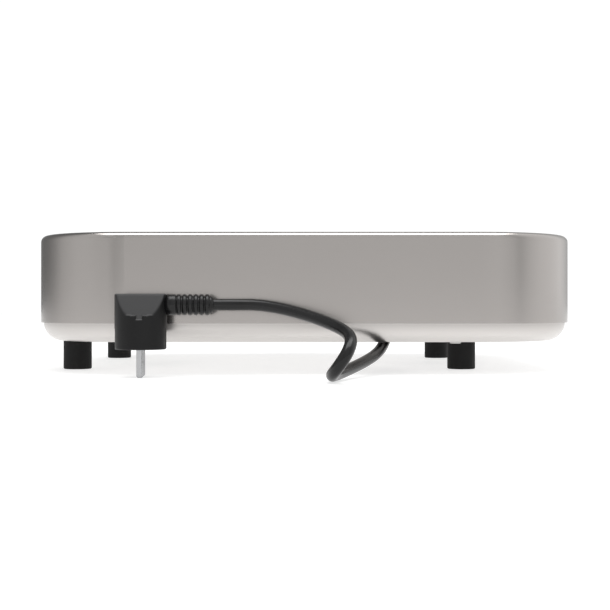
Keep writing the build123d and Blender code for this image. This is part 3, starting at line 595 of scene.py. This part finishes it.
MATERIALS = {
    "band_steel": band_steel(),
    "pan_steel": pan_steel(),
    "fastener_steel": small_steel(),
    "foot_rubber": foot_rubber,
    "glass_black": glass_black(),
    "seal_silicone": plain_finish("seal_silicone", (0.1, 0.1, 0.1), 0.55, 900.0, 0.00001),
    "mica": plain_finish("mica", (0.62, 0.56, 0.42), 0.55, 300.0, 0.00005,
                         other=(0.4, 0.35, 0.25), share=0.7),
    "coil_copper": plain_finish("coil_copper", (0.62, 0.27, 0.12), 0.3, 1200.0, 0.00006,
                                metallic=1.0),
    "former_plastic": plain_finish("former_plastic", (0.7, 0.68, 0.62), 0.45, 900.0, 0.00002),
    "ferrite": plain_finish("ferrite", (0.06, 0.06, 0.063), 0.6, 700.0, 0.00004),
    "sensor_glass": plain_finish("sensor_glass", (0.3, 0.17, 0.08), 0.25, 600.0, 0.00001),
    "board_green": plain_finish("board_green", (0.012, 0.13, 0.05), 0.3, 500.0, 0.00001,
                                other=(0.02, 0.2, 0.08)),
    "sink_aluminium": plain_finish("sink_aluminium", (0.68, 0.68, 0.69), 0.34, 1600.0, 0.00002,
                                   metallic=1.0),
    "device_black": device_black,
    "capacitor_blue": plain_finish("capacitor_blue", (0.03, 0.1, 0.36), 0.25, 500.0, 0.00001),
    "lead_black": lead_black,
    "lead_green": plain_finish("lead_green", (0.12, 0.36, 0.03), 0.4, 700.0, 0.00001,
                               other=(0.65, 0.55, 0.03)),
    "ribbon_grey": plain_finish("ribbon_grey", (0.36, 0.36, 0.38), 0.5, 700.0, 0.00001),
    "fan_plastic": fan_plastic,
    "window_tint": window_tint,
    "knob_black": knob_black,
    "cord_black": cord_black,
    "plug_black": plug_black,
    "pin_nickel": pin_nickel(),
}
print("finishes:", len(MATERIALS))

# %% Finish every CAD node
slot_of = {entry["node"]: entry["material_slot"] for entry in frame["record"]["subparts"]}
for name, node in nodes.items():
    for index in range(max(1, len(node.material_slots))):
        if not node.material_slots:
            node.data.materials.append(MATERIALS[slot_of[name]])
        node.material_slots[index].material = MATERIALS[slot_of[name]]
print("dressed nodes:", len(nodes))


# %% Floor finish
TABLE_GLOW = 0.66


def floor_finish():
    """A light table: pale acrylic, lit from below, so that shadows on it stay faint."""
    finish = Finish("floor_pale", (0.42, 0.42, 0.418), 0.6, specular=0.2)
    smudge = finish.effect("smudges", Scale=3.0, Sharpness=1.5)
    finish.tint(smudge, (0.4, 0.4, 0.398), 0.3)
    finish.shader.inputs["Emission Color"].default_value = (1, 1, 1, 1)
    finish.shader.inputs["Emission Strength"].default_value = TABLE_GLOW
    return finish.material


floor.data.materials.append(floor_finish())

# %% [markdown]
# ## The lead
#
# A three-core mains lead, 8 mm thick, seen from end to end: from the bush in the underside's
# pocket, down to the floor, forward past the rear wall, then back up and over to the plug's bend
# relief. Its line is one smooth spline, drawn through listed control points. A tube swept as a
# mesh would look the same, but a curve with a round bevel is easier to lay another way. It stands
# for the CAD tube, which carries its mass and place.

# %% Lead
LEAD_D = 8.0 * MM
# Control points in millimetres, from the bush to the bend relief.
LEAD_ROUTE = [
    (62.0, -104.0, 31.0), (62.0, -117.0, 31.0), (61.5, -133.0, 28.5), (59.5, -150.0, 23.2),
    (55.5, -167.0, 17.7), (49.5, -184.5, 13.4), (41.5, -202.0, 9.9), (33.5, -219.5, 7.2),
    (26.0, -236.5, 5.0), (20.5, -252.5, 4.1), (18.6, -266.5, 4.7), (22.4, -277.0, 10.2),
    (28.6, -278.5, 19.5), (31.6, -269.5, 27.6), (28.0, -256.5, 32.6), (16.8, -242.0, 37.8),
    (2.0, -227.0, 42.8), (-14.5, -213.0, 47.0), (-31.5, -202.5, 49.6), (-47.7, -199.0, 49.5),
    (-61.7, -200.15, 49.5),
]


def lead_curve(name, route, diameter):
    """A round cord along a smooth spline that starts and ends on the route's end points."""
    data = bpy.data.curves.new(name, "CURVE")
    data.dimensions = "3D"
    data.bevel_depth = diameter / 2
    data.bevel_resolution = 10
    data.resolution_u = 16
    data.use_fill_caps = True
    spline = data.splines.new("NURBS")
    spline.points.add(len(route) - 1)
    for point, place in zip(spline.points, route):
        point.co = (place[0] * MM, place[1] * MM, place[2] * MM, 1)
    spline.order_u = 3
    spline.use_endpoint_u = True
    return link(bpy.data.objects.new(name, data))


lead = lead_curve("lead", LEAD_ROUTE, LEAD_D)
dress(lead, cord_black, stands_for=["power_cord"])
print("lead control points:", len(LEAD_ROUTE))

# %% [markdown]
# ## The plug
#
# The plug is moulded in one shot, so every edge is soft. Its body is a stack of outlines, each a
# circle cut off straight at the grips, blended at the corner the way a mould's rounded edge is.
# A bevelled boolean could do this too, but the outlines keep the grips' curved borders smooth.

# %% Plug body
plug_low, plug_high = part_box("plug_body")
pins_middle = middle_of("plug_pins")
PLUG_TURN = math.radians(4.8)
PLUG_R = 17.8 * MM
PLUG_TOP = plug_high.z
PLUG_LOW = plug_low.z
LOW_ROUND = 0.7 * MM
TOP_ROUND = 1.1 * MM
LEVEL_STEP = 0.45 * MM
# The grip on each side: a slanted face that starts TOP_Y from the middle and reaches LOW_Y at
# the shelf, GRIP_DROP below the top. A short channel carries on below the shelf.
GRIP_DROP = 14.8 * MM
GRIP_TOP_Y = 7.0 * MM
GRIP_LOW_Y = 15.6 * MM
CHANNEL_HALF = 2.3 * MM
CHANNEL_DROP = 3.0 * MM
SHELF = PLUG_TOP - GRIP_DROP
# The earth contacts' slots, in the two sides of the lower part.
SLOT_HALF = 4.2 * MM
SLOT_HEIGHT = 14 * MM
SLOT_FLAT = 15.8 * MM
EDGE_BLEND = 0.5 * MM
CHANNEL_BLEND = 0.4 * MM
to_plug = (Matrix.Translation((pins_middle.x, pins_middle.y, 0))
           @ Matrix.Rotation(PLUG_TURN, 4, "Z"))


def soft_min(first, second, hardness=60):
    """The smaller of two lengths, blended where they are nearly equal."""
    return (first ** -hardness + second ** -hardness) ** (-1 / hardness)


def step_up(value, middle, width):
    """Rises smoothly from 0 to 1 over width, centred on middle."""
    part = min(1.0, max(0.0, (value - middle) / width + 0.5))
    return part * part * (3 - 2 * part)


def grip_cut(x, z):
    """How far from the middle the grip's slanted face is, at this height."""
    slope = (GRIP_LOW_Y - GRIP_TOP_Y) / GRIP_DROP
    slanted = GRIP_LOW_Y - slope * (z - SHELF)
    open_here = step_up(z, SHELF, EDGE_BLEND)
    below = step_up(z, SHELF - CHANNEL_DROP, CHANNEL_BLEND)
    in_channel = below * (1 - step_up(abs(x), CHANNEL_HALF, CHANNEL_BLEND))
    uncut = 1.05 * PLUG_R
    return slanted + (1 - max(open_here, in_channel)) * (uncut - slanted)


def plug_outline(z, inset, around=360):
    """One ring of the body: a circle, cut off at the grips and at the earth contacts' slots."""
    ring = []
    for index in range(around):
        turn = 2 * math.pi * (index + 0.5) / around
        side, front = abs(math.cos(turn)), abs(math.sin(turn))
        radius = PLUG_R - inset
        cut = grip_cut(radius * math.cos(turn), z) - inset
        radius = soft_min(radius, cut / front)
        if z < PLUG_LOW + SLOT_HEIGHT:
            in_slot = 1 - step_up(radius * front, SLOT_HALF, EDGE_BLEND)
            slot = (SLOT_FLAT - inset) / side
            radius = radius + in_slot * (min(radius, slot) - radius)
        ring.append((radius * math.cos(turn), radius * math.sin(turn), z))
    return ring


def plug_levels():
    """(height, inset) pairs: rounded bottom edge, the wall, rounded top edge."""
    quarter_low = [math.radians(90 * step / 5) for step in reversed(range(6))]
    quarter_top = [math.radians(90 * step / 7) for step in range(8)]
    levels = [(PLUG_LOW + LOW_ROUND * (1 - math.sin(turn)), LOW_ROUND * (1 - math.cos(turn)))
              for turn in quarter_low]
    wall = np.arange(PLUG_LOW + LOW_ROUND + 0.5 * MM, PLUG_TOP - TOP_ROUND - 0.2 * MM, LEVEL_STEP)
    levels += [(float(z), 0.0) for z in wall]
    levels += [(PLUG_TOP - TOP_ROUND * (1 - math.sin(turn)), TOP_ROUND * (1 - math.cos(turn)))
               for turn in quarter_top]
    return levels


def closed_stack(name, rings):
    """Rings of equal count, joined in turn and closed by a fan at each end."""
    around = len(rings[0])
    points = [p for ring in rings for p in ring]
    faces = []
    for level in range(len(rings) - 1):
        for index in range(around):
            after = (index + 1) % around
            low, high = level * around, (level + 1) * around
            faces.append((low + index, low + after, high + after, high + index))
    for start, flip in ((0, True), ((len(rings) - 1) * around, False)):
        middle = np.mean([points[start + i] for i in range(around)], axis=0)
        points.append(tuple(middle))
        for index in range(around):
            edge = (start + index, start + (index + 1) % around)
            faces.append((len(points) - 1, *(reversed(edge) if flip else edge)))
    return mesh_piece(name, points, faces)


def sharpen(piece, degrees=40):
    """Keeps edges sharper than this crisp while the rest stays smooth."""
    mesh = piece.data
    work = bmesh.new()
    work.from_mesh(mesh)
    for edge in work.edges:
        edge.smooth = not (edge.is_manifold and edge.calc_face_angle() > math.radians(degrees))
    work.to_mesh(mesh)
    work.free()
    return piece


plug = closed_stack("plug_moulding", [plug_outline(z, inset) for z, inset in plug_levels()])
plug.data.transform(to_plug)
sharpen(plug)
dress(plug, plug_black, stands_for=["plug_body"])
print("plug moulding:", len(plug.data.vertices), "points")


# %% Plug bend relief
RELIEF_START = 18.2
RELIEF_LENGTH = 31.5
NECK_R = 7.2
NECK_LENGTH = 5.0
RIB_COUNT = 6
RIB_PITCH = 3.883
CORE_R = 6.1
RIB_RISE = 1.2


def relief_profile():
    """(distance from the plug's axis, radius) in millimetres: neck, round ribs, short cone."""
    neck_end = RELIEF_START + NECK_LENGTH
    profile = [(RELIEF_START - 3.0, NECK_R), (neck_end, NECK_R),
               (neck_end + 0.5, NECK_R - 0.15), (neck_end + 0.9, CORE_R + 0.4)]
    for rib in range(RIB_COUNT):
        first = neck_end + 1.2 + rib * RIB_PITCH
        for step in range(9):
            turn = math.pi * step / 8
            along = first + 0.4 * RIB_PITCH * (1 - math.cos(turn))
            profile.append((along, CORE_R + RIB_RISE * math.sin(turn)))
    end = RELIEF_START + RELIEF_LENGTH
    return profile + [(end - 2.0, CORE_R), (end - 1.5, CORE_R - 0.2), (end - 0.5, 5.0), (end, 4.7)]


def lathe(profile, around=96):
    """A ring of points round the X axis for each (along, radius) of the profile."""
    rings = []
    for along, radius in profile:
        ring = []
        for index in range(around):
            turn = 2 * math.pi * index / around
            ring.append((along * MM, radius * MM * math.cos(turn), radius * MM * math.sin(turn)))
        rings.append(ring)
    return rings


relief = closed_stack("plug_bend_relief", lathe(relief_profile()))
lead_z = LEAD_ROUTE[-1][2] * MM
relief.data.transform(to_plug @ Matrix.Translation((0, 0, lead_z)))
dress(relief, cord_black, stands_for=["plug_relief"])
print("bend relief:", len(relief.data.vertices), "points")

# %% [markdown]
# ## Marks
#
# The cooking zone's ring, the dial's ticks and numbers, the display's segments and the signs on
# the buttons are printed or moulded in real life. Each is a thin prism here, a few hundredths of a
# millimetre proud, so it shows from any side and needs no picture.


# %% Flat shapes and their stamping
def turned(outline, x, y, turn):
    """An outline turned by so many degrees and moved to (x, y)."""
    c, s = math.cos(math.radians(turn)), math.sin(math.radians(turn))
    return [(x + c * u - s * v, y + s * u + c * v) for u, v in outline]


def hexagon(x, y, length, thick, turn):
    """An elongated hexagon, the shape of one segment of a digit. Millimetres and degrees."""
    long, short = length / 2, thick / 2
    outline = [(-long, 0), (-long + short, -short), (long - short, -short),
               (long, 0), (long - short, short), (-long + short, short)]
    return turned(outline, x, y, turn)


def bar(x, y, length, thick, turn=0):
    """A rectangle centred on (x, y). Millimetres and degrees."""
    long, short = length / 2, thick / 2
    return turned([(-long, -short), (long, -short), (long, short), (-long, short)], x, y, turn)


def ring_part(x, y, inner, outer, start, end, steps):
    """Quads along a ring from one angle to another."""
    quads = []
    for step in range(steps):
        first, second = (math.radians(start + (end - start) * (step + k) / steps) for k in (0, 1))
        corners = ((inner, first), (outer, first), (outer, second), (inner, second))
        quads.append([(x + r * math.cos(t), y + r * math.sin(t)) for r, t in corners])
    return quads


DIGITS = {"0": "abcdef", "1": "bc", "2": "abged", "3": "abgcd", "4": "fgbc", "5": "afgcd",
          "6": "afgedc", "7": "abc", "8": "abcdefg", "9": "abcdfg"}


def digit(figure, x, y, height, thick):
    """A seven-segment figure centred on (x, y)."""
    wide = height * 0.5
    side, quarter = wide / 2, height / 4
    spots = {"a": (0, 2 * quarter, 0), "g": (0, 0, 0), "d": (0, -2 * quarter, 0),
             "b": (side, quarter, 90), "c": (side, -quarter, 90),
             "e": (-side, -quarter, 90), "f": (-side, quarter, 90)}
    shapes = []
    for segment in DIGITS[figure]:
        u, v, turn = spots[segment]
        shapes.append(hexagon(x + u, y + v, 0.92 * wide, thick, turn))
    return shapes


def stamp(name, shapes, place, material, body, thickness=0.04):
    """Thin prisms on a face. place carries (across, up, out) of the face to the shared frame."""
    points, faces = [], []
    for shape in shapes:
        start, count = len(points), len(shape)
        points += [place @ Vector((u * MM, v * MM, 0)) for u, v in shape]
        points += [place @ Vector((u * MM, v * MM, thickness * MM)) for u, v in shape]
        faces.append(tuple(start + count + i for i in range(count)))
        faces.append(tuple(start + i for i in reversed(range(count))))
        for i in range(count):
            after = (i + 1) % count
            faces.append((start + i, start + after, start + count + after, start + count + i))
    piece = mesh_piece(name, points, faces, smooth=False)
    return dress(piece, material, body)


def face_place(origin, across, up):
    """The frame of a face, from a point on it and its two directions."""
    across, up = Vector(across).normalized(), Vector(up)
    up = (up - up.dot(across) * across).normalized()
    out = across.cross(up)
    return Matrix.Translation(origin) @ Matrix((across, up, out)).transposed().to_4x4()


def surface_place(node, start, direction, up):
    """Where a line from start meets a CAD node, as a place on that face."""
    mesh = nodes[node].data
    tree = BVHTree.FromPolygons([v.co for v in mesh.vertices],
                                [tuple(f.vertices) for f in mesh.polygons])
    spot, normal, _, _ = tree.ray_cast(Vector(start), Vector(direction))
    if normal.dot(Vector(direction)) > 0:
        normal = -normal
    across = Vector(up).cross(normal)
    return face_place(spot, across, normal.cross(across))


# %% Print and segment finishes
def print_finish(name, colour, roughness):
    finish = Finish(name, colour, roughness)
    grain = finish.effect("grain", Scale=4000.0)
    finish.tint(grain, tuple(0.8 * c for c in colour), 0.5).roughen(grain, 0.1)
    return finish.material


print_grey = print_finish("print_grey", (0.36, 0.36, 0.37), 0.4)
print_dark = print_finish("print_dark", (0.03, 0.03, 0.032), 0.45)
print_white = print_finish("print_white", (0.7, 0.7, 0.69), 0.4)
segment_dim = print_finish("segment_dim", (0.09, 0.05, 0.045), 0.25)

# %% Cooking zone
coil_middle = middle_of("induction_coil")
ZONE_R = 96.0
ZONE_LINE = 1.2
INNER_R = 70.0
TICK_LENGTH = 18
CROSS_LENGTH = 12
zone = []
for part in range(4):
    facing = 90 * part
    zone += ring_part(0, 0, ZONE_R, ZONE_R + ZONE_LINE, facing + 6, facing + 84, 32)
    zone += ring_part(0, 0, INNER_R, INNER_R + 0.5, facing + 12, facing + 78, 24)
    c, s = math.cos(math.radians(facing)), math.sin(math.radians(facing))
    zone.append(bar((ZONE_R - 8) * c, (ZONE_R - 8) * s, TICK_LENGTH, ZONE_LINE, facing))
zone += [bar(0, 0, CROSS_LENGTH, 0.9), bar(0, 0, CROSS_LENGTH, 0.9, 90)]
glass_place = face_place((coil_middle.x, coil_middle.y, GLASS_TOP_Z), (1, 0, 0), (0, 1, 0))
stamp("zone_marks", zone, glass_place, print_grey, "housing")
print("zone ring radius:", ZONE_R, "mm")

# %% Dial marks round the knob
knob_middle = middle_of("control_knob")
dial_place = face_place((knob_middle.x, FRONT_Y, knob_middle.z), (-1, 0, 0), (0, 0, 1))
DIAL_START = 225
DIAL_SWEEP = 270
DIAL_STEPS = 10
DIAL_R = 23.2
dial = ring_part(0, 0, DIAL_R, DIAL_R + 0.4, DIAL_START - DIAL_SWEEP, DIAL_START, 72)
for step in range(DIAL_STEPS + 1):
    turn = DIAL_START - DIAL_SWEEP / DIAL_STEPS * step
    c, s = math.cos(math.radians(turn)), math.sin(math.radians(turn))
    tick_r, figure_r = DIAL_R + 1.2, DIAL_R + 5.0
    dial.append(bar(tick_r * c, tick_r * s, 2.0, 0.5, turn))
    if 0 < step < DIAL_STEPS:
        dial += digit(str(step), figure_r * c, figure_r * s, 3.0, 0.42)
stamp("dial_marks", dial, dial_place, print_dark, "housing")

# %% Display segments
window_middle = middle_of("display_window")
window_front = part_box("display_window")[1].y
window_place = face_place((window_middle.x, window_front, window_middle.z), (-1, 0, 0), (0, 0, 1))
FIGURE_PITCH = 9.0
figures = []
for index in range(4):
    figures += digit("8", (index - 1.5) * FIGURE_PITCH, 0, 9.6, 1.1)
stamp("display_segments", figures, window_place, segment_dim, "housing", thickness=0.02)

# %% Signs on the buttons and the rocker
def stamp_in_front(name, node, rise, shapes):
    """Stamps a white sign where a line from in front meets the node, rise above its middle."""
    middle = middle_of(node)
    start = (middle.x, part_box(node)[1].y + 0.01, middle.z + rise * MM)
    place = surface_place(node, start, (0, -1, 0), (0, 0, 1))
    stamp(name, shapes, place, print_white, node, thickness=0.03)


minus_sign = [bar(0, 0, 4.6, 0.8)]
plus_sign = minus_sign + [bar(0, 1.4, 0.8, 1.8), bar(0, -1.4, 0.8, 1.8)]
stamp_in_front("plus_button_sign", "plus_button", 0, plus_sign)
stamp_in_front("minus_button_sign", "minus_button", 0, minus_sign)
stamp_in_front("rocker_sign_on", "power_rocker", 5.0, [bar(0, 0, 0.8, 3.4)])
stamp_in_front("rocker_sign_off", "power_rocker", -5.0, ring_part(0, 0, 1.3, 2.0, 0, 360, 32))
